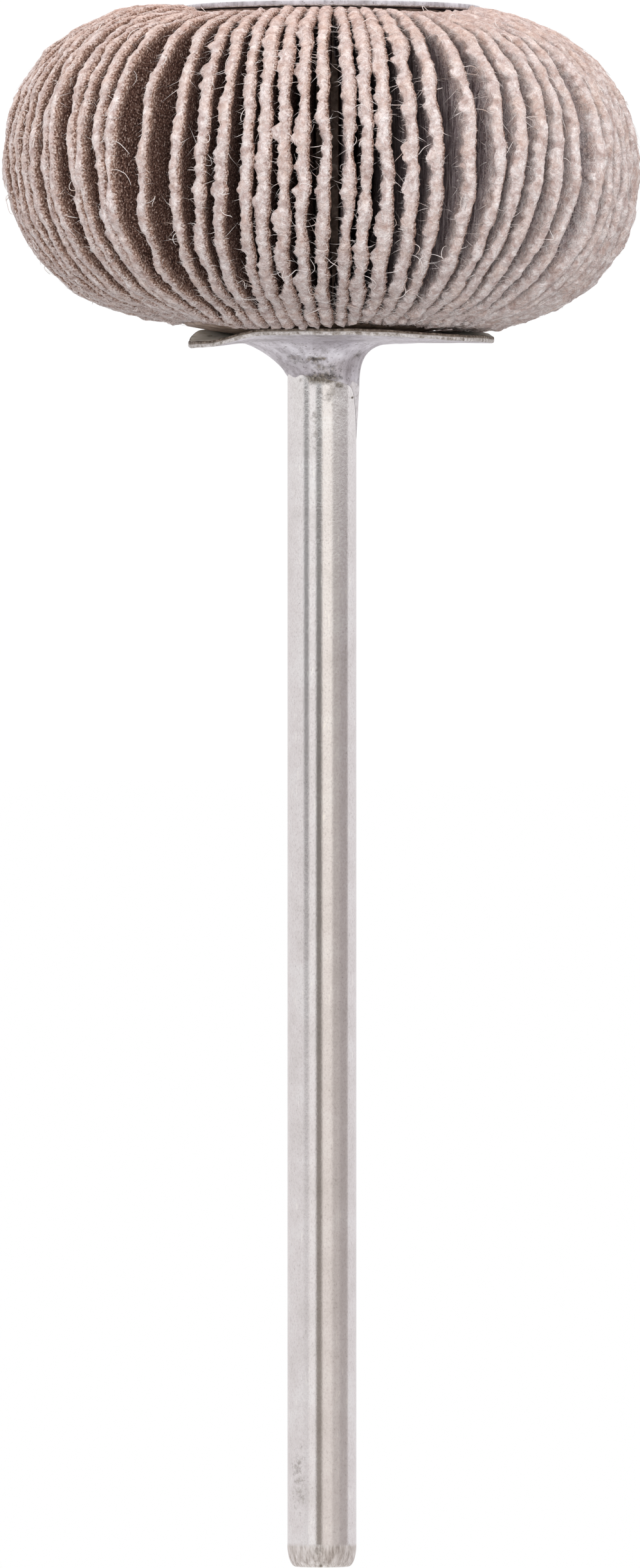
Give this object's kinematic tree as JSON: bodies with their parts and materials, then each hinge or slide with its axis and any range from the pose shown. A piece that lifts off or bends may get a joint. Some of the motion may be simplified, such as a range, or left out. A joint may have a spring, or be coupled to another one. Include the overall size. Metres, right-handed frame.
{
  "type": "flap wheel",
  "caption": "Small worn abrasive flap wheel on a plain round steel shank, with a metal disc in front and a dished washer with a collar behind.",
  "frame": {"origin": "middle of the front disc's face, on the shank's axis, where the wheel stands", "axes": "+Z from the front disc along the shank to its free end; -Y towards the camera of the picture"},
  "size_m": [0.0296, 0.0296, 0.0725],
  "materials": {
    "shank_steel": "satin",
    "abrasive_cloth": "matte",
    "front_zinc": "satin",
    "rear_zinc": "satin"
  },
  "bodies": {
    "root": {"shank": "shank_steel", "flap_pack": "abrasive_cloth", "front_disc": "front_zinc", "rear_flange": "rear_zinc"}
  },
  "joints": []
}
